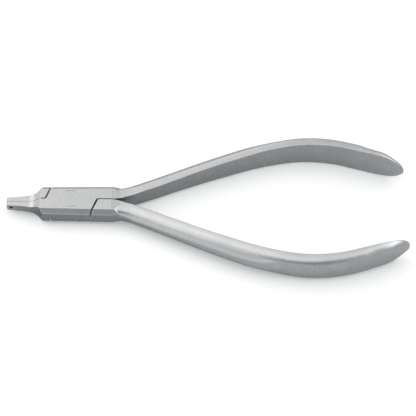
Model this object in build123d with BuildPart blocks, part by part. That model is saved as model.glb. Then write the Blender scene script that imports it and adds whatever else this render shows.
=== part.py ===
"""Crimping pliers: two lap-jointed forgings that turn on one flush pivot pin.

The pivot axis is Z. X runs along the tool, from the jaws (-X) to the handles (+X).
The origin is on the pivot axis, at the back face of the joint, and Z = 0 is that face.
The jaws are modelled closed. half_a has the +Y handle, the front lap and the -Y jaw.
half_b is the same forging turned over about the tool's long axis.
"""

import os
from math import atan2, cos, degrees, hypot, radians, sin, tan
from typing import NamedTuple

from build123d import *

# Joint box
THICKNESS = 6.6  # front face to back face
MID_Z = THICKNESS / 2
BOX_START_X = -9.6  # front face ends here and slopes down to the jaws
BOX_END_X = 17.0
BOX_HALF_WIDTH_START = 5.2  # the box widens slightly towards the handles
BOX_HALF_WIDTH_END = 5.62
EDGE_BREAK = 0.12
SIDE_CHAMFER_Y = 1.5
SIDE_CHAMFER_Z = 1.35
RAMP_START_X = 13.6  # the sides and chamfers run down to the handles from here
RAMP_SLOPE = 0.2
REAR_SLOPE_X = 13.2  # the front and back faces dip towards the handles from here
REAR_SLOPE_DROP = 0.4
REAR_FACET_X = 13.9  # where the rear facet meets the outer edge of the front face
REAR_FACET_TURN = 48.0  # the facet's top edge in plan, degrees from X
REAR_FACET_TILT = 54.0  # how far up the facet looks, degrees from the front face's plane

# Laps and shoulders
JAW_SEAM_X = 7.75  # slanted seam on the jaw side, at the tool's centre line
JAW_SEAM_SLANT = 18.5  # degrees from Y
HANDLE_SEAM_X = 8.4
HANDLE_SEAM_SLANT = 20.5
SEAM_GAP = 0.5
SEAM_CORNER_ROUND = 0.9  # inner corner of each lap
SHOULDER_CORNER_ROUND = 0.6  # outer corner of each shoulder
JAW_GAP = 0.1  # between the closed jaws
JAW_RELIEF_X = -9.4  # the gap is wider from here to the seam
JAW_RELIEF_GAP = 0.32
ROOT_GAP = 0.3  # between the roots of the handles
ROOT_END_X = 14.0  # the roots part from here
ROOT_END_RISE = 0.6
LAP_GAP = 0.04  # between the sliding faces of the two laps
FAR = 150.0  # beyond the tool, for cutting shapes
SAME_PLACE = 0.01

# Jaws
NOSE_X = -20.7
NOSE_HALF_WIDTH = 1.45
NOSE_HALF_THICKNESS = 1.3
NOSE_ROUND = 0.6
NOSE_CORNER_ROUND = 0.4
JAW_ROOT_X = -12.5  # the slope from the front face ends here
JAW_ROOT_HALF_THICKNESS = 1.45
JAW_ROOT_ROUND = 4.0
FLARE = ((-15.6, 1.88), (-13.0, 2.3), (-11.1, 2.72), (-9.8, 3.75))  # sides of the jaws
FLARE_START_SLOPE = 0.1
FLARE_END_SLOPE = 2.0
FLARE_END_X = -8.95
FLARE_END_ROUND = 0.7
HOOK_HOLE_X = -19.25
HOOK_HOLE_RADIUS = 0.6

# Pivot pin
PIN_HEAD_RADIUS = 3.2
PIN_HEAD_DEPTH = 1.5
PIN_RADIUS = 2.0
PIN_TAIL_RADIUS = 2.7
PIN_CLEARANCE = 0.04  # half_b turns on the pin
PIN_PRESS = 0.005  # the pin is pressed into half_a
PIN_EDGE_BREAK = 0.1
TAIL_CONE_ANGLE = 90.0

# Handles
INNER_EDGE_ROUND = 0.35
CREASE_ANGLE = 40.0  # place of the crease on the round section, degrees from the inner edge
GRIP_CREASE_DEPTH = 0.91  # on the flattened grip, as a share of the thickness
GRIP_SIDE_ANGLE = 55.0  # slope of the side where it meets the crease
GRIP_FACE_ANGLE = 78.0  # slope of the outer face where it meets the crease


class Station(NamedTuple):
    """One cross-section of the +Y handle."""

    x: float
    inner_y: float
    height: float
    thickness: float
    flatness: float  # near 0 for a round outer side, 1 for the flattened grip
    fullness: float = 1.0  # over 1 for a squarer section, under 1 for a leaner one


HANDLE_STATIONS = (
    Station(13.0, 0.15, 6.0, 5.1, 0.05, 1.16),
    Station(15.5, 0.3, 6.0, 5.1, 0.05, 1.14),
    Station(17.5, 0.9, 6.05, 4.95, 0.05, 1.09),
    Station(20.0, 1.7, 6.15, 5.2, 0.05, 1.02),
    Station(23.0, 2.9, 6.35, 5.3, 0.05),
    Station(27.0, 4.5, 6.5, 5.4, 0.05),
    Station(32.0, 6.72, 6.7, 5.4, 0.05),
    Station(38.0, 9.32, 7.15, 5.45, 0.05),
    Station(44.0, 11.85, 7.65, 5.5, 0.05),
    Station(50.0, 14.2, 8.05, 5.6, 0.05),
    Station(56.0, 16.45, 8.4, 5.65, 0.1),
    Station(63.0, 18.75, 8.95, 5.15, 0.35),
    Station(70.0, 20.4, 9.3, 4.4, 0.8),
    Station(78.0, 21.15, 9.7, 4.1, 1.0),
    Station(82.0, 21.0, 9.95, 4.0, 1.0),
    Station(86.0, 20.5, 10.15, 3.9, 1.0),
    Station(90.0, 19.58, 10.3, 3.86, 1.0),
    Station(94.0, 18.45, 10.4, 3.8, 1.0),
    Station(100.0, 16.75, 10.2, 3.3, 0.9),
    Station(104.0, 15.45, 8.8, 2.95, 0.85, 0.9),
    Station(106.3, 14.7, 6.5, 2.6, 0.9, 0.58),
    Station(107.7, 14.3, 3.7, 2.0, 0.85, 0.5),
    Station(108.3, 14.15, 1.4, 1.3, 0.8, 0.5),
)


def across(x):
    """Plane square to the tool's length, with its origin at mid-thickness."""
    return Plane(origin=(x, 0, MID_Z), x_dir=(0, 1, 0), z_dir=(1, 0, 0))


def slope(angle):
    """Direction that goes outwards and down by an angle in degrees."""
    return cos(radians(angle)), -sin(radians(angle))


def handle_section(station):
    """Flat inner face with rounded edges, two round sides and an outer face."""
    inner = station.inner_y
    half = station.height / 2
    round_radius = min(INNER_EDGE_ROUND, half / 4)
    across_angle = radians(CREASE_ANGLE)
    round_depth = station.fullness * sin(across_angle)
    crease_depth = round_depth + station.flatness * (GRIP_CREASE_DEPTH - round_depth)
    crease_y = inner + station.thickness * crease_depth
    crease_z = half * station.fullness * cos(across_angle)
    round_slope = degrees(
        atan2(half * sin(across_angle), station.thickness * cos(across_angle))
    )
    side_slope = round_slope + station.flatness * (GRIP_SIDE_ANGLE - round_slope)
    face_slope = round_slope + station.flatness * (GRIP_FACE_ANGLE - round_slope)
    side_out, side_down = slope(side_slope)
    face_out, face_down = slope(face_slope)
    with BuildSketch(across(station.x)) as section:
        with BuildLine():
            Line((inner, round_radius - half), (inner, half - round_radius))
            RadiusArc(
                (inner, half - round_radius),
                (inner + round_radius, half),
                round_radius,
            )
            Spline(
                (inner + round_radius, half),
                (crease_y, crease_z),
                tangents=((1, 0), (side_out, side_down)),
            )
            Spline(
                (crease_y, crease_z),
                (inner + station.thickness, 0),
                (crease_y, -crease_z),
                tangents=((face_out, face_down), (-face_out, face_down)),
            )
            Spline(
                (crease_y, -crease_z),
                (inner + round_radius, -half),
                tangents=((-side_out, side_down), (-1, 0)),
            )
            RadiusArc(
                (inner + round_radius, -half),
                (inner, round_radius - half),
                round_radius,
            )
        make_face()
    return section.sketch


def corners_at(sketch, x):
    """The sketch's corners at one place along X."""
    return sketch.vertices().filter_by(lambda vertex: abs(vertex.X - x) < SAME_PLACE)


def box_half_width(x):
    """Half width of the tapered box, chamfers left out."""
    share = (x - BOX_START_X) / (BOX_END_X - BOX_START_X)
    return BOX_HALF_WIDTH_START + share * (BOX_HALF_WIDTH_END - BOX_HALF_WIDTH_START)


def long_edge_plane(first, second, start_x, ramp, y_side, z_side):
    """Plane that cuts one long corner of the box through two points of its section.

    Each point says how far it lies in from the side and in from the face.
    """
    taper = (BOX_HALF_WIDTH_END - BOX_HALF_WIDTH_START) / (BOX_END_X - BOX_START_X)
    normal_y = second[1] - first[1]
    normal_z = first[0] - second[0]
    normal_x = ramp * hypot(normal_y, normal_z) - taper * normal_y
    return Plane(
        origin=(
            start_x,
            y_side * (box_half_width(start_x) - first[0]),
            MID_Z + z_side * (MID_Z - first[1]),
        ),
        z_dir=(normal_x, y_side * normal_y, z_side * normal_z),
    )


def long_edge_planes():
    """The chamfers, a small break on both edges of each, and their ramps at the rear."""
    width = hypot(SIDE_CHAMFER_Y, SIDE_CHAMFER_Z)
    step_y = EDGE_BREAK * SIDE_CHAMFER_Y / width
    step_z = EDGE_BREAK * SIDE_CHAMFER_Z / width
    chamfer_cut = ((SIDE_CHAMFER_Y, 0), (0, SIDE_CHAMFER_Z))
    upper_break = ((SIDE_CHAMFER_Y + EDGE_BREAK, 0), (SIDE_CHAMFER_Y - step_y, step_z))
    lower_break = ((step_y, SIDE_CHAMFER_Z - step_z), (0, SIDE_CHAMFER_Z + EDGE_BREAK))
    cuts = (
        (*chamfer_cut, BOX_START_X, 0),
        (*upper_break, BOX_START_X, 0),
        (*lower_break, BOX_START_X, 0),
        (*chamfer_cut, RAMP_START_X, RAMP_SLOPE),
        (*lower_break, RAMP_START_X, RAMP_SLOPE),
    )
    return [
        long_edge_plane(*cut, y_side, z_side)
        for cut in cuts
        for y_side in (1, -1)
        for z_side in (1, -1)
    ]


def head_plan():
    """Outline of the head from above: the nose, the flared jaws and the tapered box."""
    ramp_drop = RAMP_SLOPE * (BOX_END_X - RAMP_START_X)
    with BuildSketch(Plane.XY) as plan:
        with BuildLine():
            Line((NOSE_X, 0), (NOSE_X, NOSE_HALF_WIDTH))
            Line((NOSE_X, NOSE_HALF_WIDTH), FLARE[0])
            Spline(
                *FLARE,
                (FLARE_END_X, box_half_width(FLARE_END_X)),
                tangents=((1, FLARE_START_SLOPE), (1, FLARE_END_SLOPE)),
            )
            Polyline(
                (FLARE_END_X, box_half_width(FLARE_END_X)),
                (RAMP_START_X, box_half_width(RAMP_START_X)),
                (BOX_END_X, BOX_HALF_WIDTH_END - ramp_drop),
                (BOX_END_X, 0),
                (NOSE_X, 0),
            )
        make_face()
        mirror(about=Plane.XZ)
        fillet(plan.vertices().group_by(Axis.X)[0], NOSE_CORNER_ROUND)
        fillet(corners_at(plan, FLARE_END_X), FLARE_END_ROUND)
    return plan.sketch


def head_side():
    """Outline of the head from the side: rounded nose, thin jaws, slope and box."""
    with BuildSketch(Plane.XZ.shift_origin((0, 0, MID_Z))) as side:
        with BuildLine():
            Polyline(
                (NOSE_X, 0),
                (NOSE_X, NOSE_HALF_THICKNESS),
                (JAW_ROOT_X, JAW_ROOT_HALF_THICKNESS),
                (BOX_START_X, MID_Z),
                (REAR_SLOPE_X, MID_Z),
                (BOX_END_X, MID_Z - REAR_SLOPE_DROP),
                (BOX_END_X, 0),
                (NOSE_X, 0),
            )
        make_face()
        mirror(about=Plane.XZ)
        fillet(side.vertices().group_by(Axis.X)[0], NOSE_ROUND)
        fillet(corners_at(side, JAW_ROOT_X), JAW_ROOT_ROUND)
    return side.sketch


def root_parting():
    """Inner edge of the +Y root, from the handle's end to the joint."""
    return (
        (FAR, ROOT_GAP / 2 + ROOT_END_RISE),
        (BOX_END_X, ROOT_GAP / 2 + ROOT_END_RISE),
        (ROOT_END_X, ROOT_GAP / 2),
    )


def rear_facet(z_side):
    """Plane of the sloped facet that ends the box on the +Y side; it faces outwards."""
    tilt = radians(REAR_FACET_TILT)
    turn = radians(REAR_FACET_TURN)
    return Plane(
        origin=(
            REAR_FACET_X,
            box_half_width(REAR_FACET_X) - SIDE_CHAMFER_Y,
            MID_Z + z_side * MID_Z,
        ),
        z_dir=(cos(tilt) * sin(turn), cos(tilt) * cos(turn), z_side * sin(tilt)),
    )


def seam_run(slant):
    """How far a slanted seam moves along X by the time it is far from the centre line."""
    return FAR * tan(radians(slant))


def lap_region():
    """half_a's share of the front layer: -Y jaw, lap and +Y handle."""
    with BuildSketch(Plane.XY) as region:
        with BuildLine():
            Polyline(
                (-FAR, -JAW_GAP / 2),
                (JAW_RELIEF_X, -JAW_GAP / 2),
                (JAW_RELIEF_X, -JAW_RELIEF_GAP / 2),
                (-JAW_SEAM_X, -JAW_RELIEF_GAP / 2),
                (seam_run(JAW_SEAM_SLANT) - JAW_SEAM_X, FAR),
                (FAR, FAR),
                *root_parting(),
                (HANDLE_SEAM_X, ROOT_GAP / 2),
                (HANDLE_SEAM_X - seam_run(HANDLE_SEAM_SLANT), -FAR),
                (-FAR, -FAR),
                close=True,
            )
        make_face()
        for corner_x in (-JAW_SEAM_X, HANDLE_SEAM_X):
            fillet(corners_at(region, corner_x), SEAM_CORNER_ROUND)
    return region.sketch


def shoulder_region():
    """half_a's share of the back layer: -Y jaw and +Y handle, clear of the other lap."""
    jaw_corner_x = -JAW_SEAM_X - SEAM_GAP / cos(radians(JAW_SEAM_SLANT))
    handle_corner_x = HANDLE_SEAM_X + SEAM_GAP / cos(radians(HANDLE_SEAM_SLANT))
    with BuildSketch(Plane.XY) as region:
        with BuildLine():
            Polyline(
                (-FAR, -JAW_GAP / 2),
                (JAW_RELIEF_X, -JAW_GAP / 2),
                (JAW_RELIEF_X, -JAW_RELIEF_GAP / 2),
                (jaw_corner_x, -JAW_RELIEF_GAP / 2),
                (jaw_corner_x + seam_run(JAW_SEAM_SLANT), -FAR),
                (-FAR, -FAR),
                close=True,
            )
        make_face()
        with BuildLine():
            Polyline(
                *root_parting(),
                (handle_corner_x, ROOT_GAP / 2),
                (handle_corner_x - seam_run(HANDLE_SEAM_SLANT), FAR),
                (FAR, FAR),
                close=True,
            )
        make_face()
        for corner_x in (jaw_corner_x, handle_corner_x):
            fillet(corners_at(region, corner_x), SHOULDER_CORNER_ROUND)
    return region.sketch


def make_forging():
    """One half without its pin seat: head, handle and jaw, cut to its own share."""
    with BuildPart() as share:
        extrude(lap_region(), FAR)
        split(bisect_by=Plane.XY.offset(MID_Z + LAP_GAP / 2))
        extrude(shoulder_region(), FAR, both=True)

    with BuildPart() as forging:
        extrude(head_plan(), THICKNESS)
        extrude(head_side(), FAR, both=True, mode=Mode.INTERSECT)
        for plane in long_edge_planes():
            split(bisect_by=plane, keep=Keep.BOTTOM)
        for z_side in (1, -1):
            split(bisect_by=rear_facet(z_side), keep=Keep.BOTTOM)
        loft([handle_section(station) for station in HANDLE_STATIONS])
        add(share.part, mode=Mode.INTERSECT)
    return forging.part


os.makedirs("parts", exist_ok=True)
forging = make_forging()
tail_depth = (PIN_TAIL_RADIUS - PIN_RADIUS) / tan(radians(TAIL_CONE_ANGLE / 2))

with BuildPart() as half_a:
    add(forging)
    with Locations((0, 0, THICKNESS)):
        CounterBoreHole(
            radius=PIN_RADIUS - PIN_PRESS,
            counter_bore_radius=PIN_HEAD_RADIUS - PIN_PRESS,
            counter_bore_depth=PIN_HEAD_DEPTH,
        )
    seat_rim = half_a.edges().filter_by(GeomType.CIRCLE).group_by(Axis.Z)[-1]
    chamfer(seat_rim.filter_by(lambda edge: edge.radius > PIN_RADIUS), PIN_EDGE_BREAK)
    with Locations(Plane(origin=(HOOK_HOLE_X, 0, MID_Z), z_dir=(0, -1, 0))):
        Cylinder(
            HOOK_HOLE_RADIUS,
            FAR,
            align=(Align.CENTER, Align.CENTER, Align.MIN),
            mode=Mode.SUBTRACT,
        )
half_a.part.label = "half_a"
export_step(half_a.part, "parts/half_a.step")

with BuildPart() as half_b:
    add(forging.rotate(Axis((0, 0, MID_Z), (1, 0, 0)), 180))
    with BuildSketch(Plane.XZ):
        with BuildLine():
            Polyline(
                (0, 0),
                (PIN_TAIL_RADIUS + 2 * PIN_CLEARANCE, 0),
                (PIN_RADIUS + PIN_CLEARANCE, tail_depth + PIN_CLEARANCE),
                (PIN_RADIUS + PIN_CLEARANCE, MID_Z),
                (0, MID_Z),
                close=True,
            )
        make_face()
    revolve(axis=Axis.Z, mode=Mode.SUBTRACT)
half_b.part.label = "half_b"
export_step(half_b.part, "parts/half_b.step")

with BuildPart() as pivot_pin:
    with BuildSketch(Plane.XZ):
        with BuildLine():
            Polyline(
                (0, 0),
                (PIN_TAIL_RADIUS, 0),
                (PIN_RADIUS, tail_depth),
                (PIN_RADIUS, THICKNESS - PIN_HEAD_DEPTH),
                (PIN_HEAD_RADIUS, THICKNESS - PIN_HEAD_DEPTH),
                (PIN_HEAD_RADIUS, THICKNESS - PIN_EDGE_BREAK),
                (PIN_HEAD_RADIUS - PIN_EDGE_BREAK, THICKNESS),
                (0, THICKNESS),
                close=True,
            )
        make_face()
    revolve(axis=Axis.Z)
pivot_pin.part.label = "pivot_pin"
export_step(pivot_pin.part, "parts/pivot_pin.step")
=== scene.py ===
"""Studio view of the crimping pliers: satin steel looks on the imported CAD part.

Everything is in metres, in the part's frame: Z along the pivot, X from jaws to handles.
"""

from math import cos, pi, radians, sin
from typing import NamedTuple

import bpy
from mathutils import Matrix, Vector


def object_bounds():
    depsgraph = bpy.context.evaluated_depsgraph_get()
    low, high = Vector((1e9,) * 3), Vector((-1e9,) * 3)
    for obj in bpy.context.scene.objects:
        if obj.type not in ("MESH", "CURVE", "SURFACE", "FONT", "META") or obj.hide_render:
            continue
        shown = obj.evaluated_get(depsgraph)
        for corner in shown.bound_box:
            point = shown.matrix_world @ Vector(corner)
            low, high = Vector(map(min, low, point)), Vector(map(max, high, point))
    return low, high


MM = 0.001

# Camera
VIEW_ELEVATION = 55.51  # degrees above the joint's front face
VIEW_ROLL = 0.548
VIEW_DISTANCE = 0.4694
VIEW_TARGET = (0.04423, -0.000989, 0.0033)
VIEW_LENS = 125.9
VIEW_SENSOR = 36.0
VIEW_NEAR = 0.01
VIEW_FAR = 20

# Sheets under the tool
SHEET_SIZE = 6.0
SHEET_ROUGHNESS = 0.9
SHEET_SPECULAR = 0.1
JOINT_REST_X = -9.6 * MM  # the sheets touch the back of the joint here
GRIP_REST_X = 92 * MM  # and the lowest side of the grips here

# Floor
FLOOR_DARK = (0.83, 0.83, 0.83, 1)
FLOOR_LIGHT = (0.87, 0.87, 0.87, 1)
FLOOR_GLOW = 0.25
FLOOR_GRAIN_SCALE = 900

# Reflection-only grey sheet, a painted reflection of the floor in the tool's shade: its
# light share grows along X under the handles, to the front and to the nose, so it is
# darkest near the head
REFLECTED_SHADE_DARK = (0.37, 0.38, 0.39, 1)
REFLECTED_SHADE_LIGHT = (0.64, 0.65, 0.66, 1)
REFLECTED_SHADE_HANDLES = (-10 * MM, 110 * MM)
REFLECTED_SHADE_FRONT = (-24 * MM, -10 * MM)
REFLECTED_SHADE_FRONT_SHARE = 0.4
REFLECTED_SHADE_NOSE = (-22 * MM, -12 * MM)
REFLECTED_SHADE_NOSE_SHARE = 0.6

# Light tent
TENT_BANDS = (  # (degrees from the zenith, positive in front; brightness)
    (-180, 0.6),
    (-130, 0.6),
    (-95, 0.85),
    (-80, 0.95),
    (-55, 0.86),
    (-38, 0.88),
    (-18, 1.05),
    (0, 1.12),
    (20, 0.68),
    (38, 0.25),
    (55, 0.42),
    (90, 0.95),
    (115, 0.65),
    (145, 0.3),
    (180, 0.6),
)
TENT_LEAN = (1.22, 0.81)  # the bands' factors on the jaws' side and on the grips' side
LEAN_EDGE = 0.1  # X of a direction where the lean is full
END_DEPTH = (-0.5, 0.1)  # Y of a direction: front of an end, back of an end
END_HEIGHT = (0.25, 0.7)  # Z of a direction: low on an end, high on an end
END_HORIZON = (-0.1, 0.1)  # Z of a direction: below the floor, above it
TENT_COOL = (0.9, 0.97, 1.0, 1)
TENT_NEUTRAL = (1.0, 1.0, 1.0, 1)
TINT_BRIGHTNESS = (0.4, 0.95)  # where the tint is all cool, and where it is neutral

# Steel
STEEL_DARK = (0.52, 0.525, 0.53, 1)
STEEL_LIGHT = (0.59, 0.59, 0.595, 1)
STEEL_ROUGHNESS = 0.26
PIN_DARK = (0.51, 0.515, 0.52, 1)
PIN_LIGHT = (0.58, 0.58, 0.585, 1)
PIN_ROUGHNESS = 0.29
ROUGHNESS_SPREAD = 0.03
MOTTLE_SCALE = 240
MOTTLE_SHARE = 0.4
GRAIN_SCALE = 3600
GRAIN_SHARE = 0.3
BRUSHING_SCALE = (2600, 500, 260)  # along X, Y and Z
BRUSHING_SHARE = 0.3
TONE_SPAN = (0.35, 0.7)  # texture values that give the dark and the light colour
ROUGHNESS_SPAN = (0.35, 0.65)
BUMP_STRENGTH = 0.2
BUMP_DEPTH = 0.02 * MM
EDGE_RADIUS = 0.2 * MM
EDGE_SAMPLES = 8
EDGE_AGREEMENT = (0.8, 0.99)  # of rounded and true normals: on an edge, on a face
# lightens the head's edges: partly rubbed wear, partly painted highlight
EDGE_WEAR_AND_HIGHLIGHT_TONE = 0.3
EDGE_POLISH = 0.05
HEAD_END = (15 * MM, 18 * MM)  # edges are rounded on the head only, and lightened there partly as rubbed wear and partly as painted highlight

# Sockets of the Mix node: first, second, result
MIX_VECTOR = (4, 5, 1)
MIX_COLOUR = (6, 7, 2)


class TentEnd(NamedTuple):
    """Brightness of one end of the tent, and where it takes over from the bands."""

    side: float  # -1 beyond the jaws, 1 beyond the grips
    start: float  # X of a direction, outwards
    full: float
    below: float  # under the floor
    low: float  # just over the floor
    back: float
    front: float


TENT_ENDS = (
    TentEnd(side=-1, start=0.2, full=0.6, below=0.6, low=0.9, back=1.9, front=1.0),
    TentEnd(side=1, start=0.1, full=0.6, below=0.4, low=0.6, back=2.0, front=0.8),
)


def new_material(name):
    """Node material with one Principled shader, returned with its tree and shader."""
    material = bpy.data.materials.new(name)
    material.use_nodes = True
    tree = material.node_tree
    tree.nodes.clear()
    output = tree.nodes.new("ShaderNodeOutputMaterial")
    shader = tree.nodes.new("ShaderNodeBsdfPrincipled")
    tree.links.new(shader.outputs["BSDF"], output.inputs["Surface"])
    return material, tree, shader


def add_node(tree, kind, links=(), **settings):
    """Adds a node, sets its attributes and links (input, socket) pairs."""
    node = tree.nodes.new(kind)
    for key, value in settings.items():
        setattr(node, key, value)
    for name, source in links:
        tree.links.new(source, node.inputs[name])
    return node


def feed(tree, socket, value):
    """Gives an input its value, which is another socket or a number."""
    if isinstance(value, (int, float)):
        socket.default_value = value
    else:
        tree.links.new(value, socket)


def object_place(tree):
    """Coordinates in the part's frame."""
    return add_node(tree, "ShaderNodeTexCoord").outputs["Object"]


def split_axes(tree, vector):
    """A vector's X, Y and Z sockets."""
    return add_node(tree, "ShaderNodeSeparateXYZ", [("Vector", vector)]).outputs


def noise(tree, vector, scale, detail):
    """Noise texture's factor over the given coordinates."""
    node = add_node(tree, "ShaderNodeTexNoise", [("Vector", vector)])
    node.inputs["Scale"].default_value = scale
    node.inputs["Detail"].default_value = detail
    return node.outputs["Fac"]


def stretched(tree, vector, scale):
    """Coordinates scaled by a different amount along each axis."""
    node = add_node(tree, "ShaderNodeMapping", [("Vector", vector)])
    node.inputs["Scale"].default_value = scale
    return node.outputs["Vector"]


def remap(tree, value, low, high, from_low, from_high):
    """Maps a value from one range to another, clamped."""
    node = add_node(tree, "ShaderNodeMapRange", [("Value", value)])
    node.inputs["From Min"].default_value = from_low
    node.inputs["From Max"].default_value = from_high
    node.inputs["To Min"].default_value = low
    node.inputs["To Max"].default_value = high
    return node.outputs["Result"]


def combine(tree, operation, first, second):
    """Sum, product or other maths of two values; each is a socket or a number."""
    node = add_node(tree, "ShaderNodeMath", operation=operation)
    feed(tree, node.inputs[0], first)
    feed(tree, node.inputs[1], second)
    return node.outputs["Value"]


def blend(tree, amount, first, second):
    """Mixes two values by a socket's amount; each is a socket or a number."""
    node = add_node(tree, "ShaderNodeMix", [("Factor", amount)])
    feed(tree, node.inputs["A"], first)
    feed(tree, node.inputs["B"], second)
    return node.outputs["Result"]


def blend_colours(tree, amount, first, second):
    """Mixes two colours by a socket's amount."""
    first_input, second_input, result = MIX_COLOUR
    node = add_node(tree, "ShaderNodeMix", [("Factor", amount)], data_type="RGBA")
    node.inputs[first_input].default_value = first
    node.inputs[second_input].default_value = second
    return node.outputs[result]


def blend_vectors(tree, amount, first, second):
    """Mixes two vector sockets by a socket's amount."""
    first_input, second_input, result = MIX_VECTOR
    links = [("Factor", amount), (first_input, first), (second_input, second)]
    return add_node(tree, "ShaderNodeMix", links, data_type="VECTOR").outputs[result]


def rubbed_and_highlit_edges(tree, place):
    """Normal that rounds the head's edges, and how near to such an edge a point is; that
    nearness lightens the edges partly as rubbed wear and partly as painted highlight.
    """
    rounded = add_node(tree, "ShaderNodeBevel", samples=EDGE_SAMPLES)
    rounded.inputs["Radius"].default_value = EDGE_RADIUS
    surface = add_node(tree, "ShaderNodeNewGeometry").outputs["Normal"]
    on_head = remap(tree, split_axes(tree, place)["X"], 1, 0, *HEAD_END)
    normal = blend_vectors(tree, on_head, surface, rounded.outputs["Normal"])
    links = [(0, normal), (1, surface)]
    agreement = add_node(tree, "ShaderNodeVectorMath", links, operation="DOT_PRODUCT")
    return normal, remap(tree, agreement.outputs["Value"], 1, 0, *EDGE_AGREEMENT)


def satin_steel(name, dark, light, roughness):
    """Fine satin stainless steel: soft mottling, cross-brushing, grain, and edges
    lightened partly as rubbed wear and partly as painted highlight.
    """
    material, tree, shader = new_material(name)
    place = object_place(tree)
    normal, edge_wear_and_highlight = rubbed_and_highlit_edges(tree, place)

    mottle = noise(tree, place, MOTTLE_SCALE, 3)
    grain = noise(tree, place, GRAIN_SCALE, 2)
    brushing = noise(tree, stretched(tree, place, BRUSHING_SCALE), 1, 2)

    texture = combine(tree, "MULTIPLY", mottle, MOTTLE_SHARE)
    for value, share in ((grain, GRAIN_SHARE), (brushing, BRUSHING_SHARE)):
        texture = combine(tree, "ADD", texture, combine(tree, "MULTIPLY", value, share))
    # the head's edges are lighter: partly rubbed wear, partly painted highlight
    tone = combine(tree, "ADD", texture, combine(tree, "MULTIPLY", edge_wear_and_highlight, EDGE_WEAR_AND_HIGHLIGHT_TONE))
    colour = blend_colours(tree, remap(tree, tone, 0, 1, *TONE_SPAN), dark, light)
    tree.links.new(colour, shader.inputs["Base Color"])

    smooth = roughness - ROUGHNESS_SPREAD
    coarse = roughness + ROUGHNESS_SPREAD
    rough = remap(tree, texture, smooth, coarse, *ROUGHNESS_SPAN)
    polish = combine(tree, "MULTIPLY", edge_wear_and_highlight, EDGE_POLISH)
    tree.links.new(combine(tree, "SUBTRACT", rough, polish), shader.inputs["Roughness"])

    height = combine(tree, "ADD", grain, brushing)
    bump = add_node(tree, "ShaderNodeBump", [("Height", height), ("Normal", normal)])
    bump.inputs["Strength"].default_value = BUMP_STRENGTH
    bump.inputs["Distance"].default_value = BUMP_DEPTH
    tree.links.new(bump.outputs["Normal"], shader.inputs["Normal"])
    shader.inputs["Metallic"].default_value = 1.0
    return material


def sheet(name, box_low):
    """Matte sheet under the tool, which rests on its joint and on its grips."""
    slope = box_low.z / (GRIP_REST_X - JOINT_REST_X)
    half = SHEET_SIZE / 2
    corners = [
        (x, y, slope * (x - JOINT_REST_X))
        for x, y in ((-half, -half), (half, -half), (half, half), (-half, half))
    ]
    mesh = bpy.data.meshes.new(name)
    mesh.from_pydata(corners, [], [(0, 1, 2, 3)])
    flat = bpy.data.objects.new(name, mesh)
    bpy.context.scene.collection.objects.link(flat)
    material, tree, shader = new_material(name + "_paper")
    shader.inputs["Roughness"].default_value = SHEET_ROUGHNESS
    shader.inputs["Specular IOR Level"].default_value = SHEET_SPECULAR
    mesh.materials.append(material)
    return flat, tree, shader


def make_floor(box_low):
    """White floor to look at, which the steel doesn't mirror."""
    floor, tree, shader = sheet("floor", box_low)
    floor.visible_glossy = False
    grain = noise(tree, object_place(tree), FLOOR_GRAIN_SCALE, 3)
    tone = blend_colours(tree, grain, FLOOR_DARK, FLOOR_LIGHT)
    tree.links.new(tone, shader.inputs["Base Color"])
    tree.links.new(tone, shader.inputs["Emission Color"])
    shader.inputs["Emission Strength"].default_value = FLOOR_GLOW


def make_reflected_shade_sheet(box_low):
    """Grey sheet in the floor's place, which only the steel's reflections show: a painted
    reflection of the floor in the tool's shade.
    """
    reflected_shade_sheet, tree, shader = sheet("reflected_shade_sheet", box_low)
    reflected_shade_sheet.visible_camera = False
    reflected_shade_sheet.visible_diffuse = False
    reflected_shade_sheet.visible_shadow = False
    x, y, z = split_axes(tree, object_place(tree))
    # painted shade in the reflected floor: darkest near the head, lighter along the
    # handles, to the front and beyond the nose
    share = remap(tree, x, 0, 1, *REFLECTED_SHADE_HANDLES)
    share = combine(tree, "ADD", share, remap(tree, y, REFLECTED_SHADE_FRONT_SHARE, 0, *REFLECTED_SHADE_FRONT))
    share = combine(tree, "ADD", share, remap(tree, x, REFLECTED_SHADE_NOSE_SHARE, 0, *REFLECTED_SHADE_NOSE))
    tone = blend_colours(tree, share, REFLECTED_SHADE_DARK, REFLECTED_SHADE_LIGHT)
    tree.links.new(tone, shader.inputs["Base Color"])


def tent_bands(tree, x, y, z):
    """Bands that run round the tool's length, brighter on the jaws' side.

    Their angles start under the bench and go up behind it, over the zenith and down
    in front.
    """
    turn = combine(tree, "ARCTAN2", combine(tree, "MULTIPLY", y, -1.0), z)
    ramp = add_node(tree, "ShaderNodeValToRGB")
    tree.links.new(remap(tree, turn, 0, 1, -pi, pi), ramp.inputs["Fac"])
    elements = ramp.color_ramp.elements
    while len(elements) < len(TENT_BANDS):
        elements.new(0.5)
    for element, (angle, value) in zip(elements, TENT_BANDS):
        element.position = (angle + 180) / 360
        element.color = (value, value, value, 1)
    lean = remap(tree, x, *TENT_LEAN, -LEAN_EDGE, LEAN_EDGE)
    return combine(tree, "MULTIPLY", ramp.outputs["Color"], lean)


def tent_end(tree, end, y, z):
    """Brightness of one end of the tent."""
    high = remap(tree, y, end.front, end.back, *END_DEPTH)
    above = blend(tree, remap(tree, z, 0, 1, *END_HEIGHT), end.low, high)
    return blend(tree, remap(tree, z, 1, 0, *END_HORIZON), above, end.below)


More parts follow.
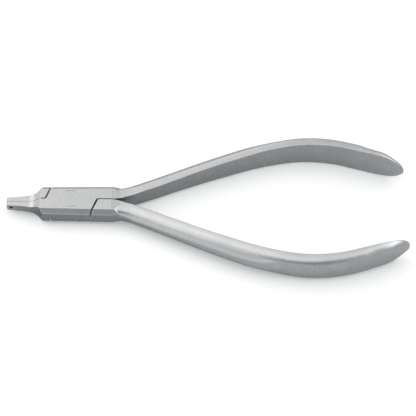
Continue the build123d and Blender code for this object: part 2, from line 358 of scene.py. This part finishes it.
def make_world():
    """Light tent: bright behind and overhead, dim high in front, with its own ends."""
    world = bpy.data.worlds.new("tent")
    bpy.context.scene.world = world
    world.use_nodes = True
    tree = world.node_tree
    tree.nodes.clear()
    direction = add_node(tree, "ShaderNodeTexCoord").outputs["Generated"]
    x, y, z = split_axes(tree, direction)
    total = tent_bands(tree, x, y, z)
    for end in TENT_ENDS:
        outwards = combine(tree, "MULTIPLY", x, end.side)
        inside = remap(tree, outwards, 0, 1, end.start, end.full)
        total = blend(tree, inside, total, tent_end(tree, end, y, z))
    neutral = remap(tree, total, 0, 1, *TINT_BRIGHTNESS)
    tint = blend_colours(tree, neutral, TENT_COOL, TENT_NEUTRAL)
    links = [("Color", tint), ("Strength", total)]
    shader = add_node(tree, "ShaderNodeBackground", links)
    add_node(tree, "ShaderNodeOutputWorld", [("Surface", shader.outputs["Background"])])


def make_camera():
    """Camera that looks down on the tool's front face, with the jaws on the left."""
    camera = bpy.data.cameras.new("camera")
    camera.sensor_width = VIEW_SENSOR
    camera.lens = VIEW_LENS
    camera.clip_start = VIEW_NEAR
    camera.clip_end = VIEW_FAR
    rise = radians(VIEW_ELEVATION)
    roll = radians(VIEW_ROLL)
    back = Vector((0, -cos(rise), sin(rise)))
    right = Vector((1, 0, 0))
    up = back.cross(right)
    turned_right = cos(roll) * right + sin(roll) * up
    turned_up = cos(roll) * up - sin(roll) * right
    turn = Matrix((turned_right, turned_up, back)).transposed()
    place = Vector(VIEW_TARGET) + VIEW_DISTANCE * back
    body = bpy.data.objects.new("camera", camera)
    body.matrix_world = Matrix.Translation(place) @ turn.to_4x4()
    bpy.context.scene.collection.objects.link(body)
    bpy.context.scene.camera = body


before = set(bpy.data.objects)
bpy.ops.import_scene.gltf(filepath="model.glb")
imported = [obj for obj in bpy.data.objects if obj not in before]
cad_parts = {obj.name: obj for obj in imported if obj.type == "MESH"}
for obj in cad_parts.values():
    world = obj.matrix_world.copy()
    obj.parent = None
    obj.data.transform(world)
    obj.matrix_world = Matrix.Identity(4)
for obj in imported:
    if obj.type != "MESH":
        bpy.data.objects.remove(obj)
cad_low, cad_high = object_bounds()

steel = satin_steel("satin_steel_fine", STEEL_DARK, STEEL_LIGHT, STEEL_ROUGHNESS)
pin_steel = satin_steel("pin_steel_fine", PIN_DARK, PIN_LIGHT, PIN_ROUGHNESS)
for name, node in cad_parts.items():
    node.material_slots[0].material = pin_steel if name == "pivot_pin" else steel

make_floor(cad_low)
make_reflected_shade_sheet(cad_low)
make_world()
make_camera()

bpy.context.scene.view_settings.view_transform = "Standard"
bpy.context.scene.view_settings.look = "None"
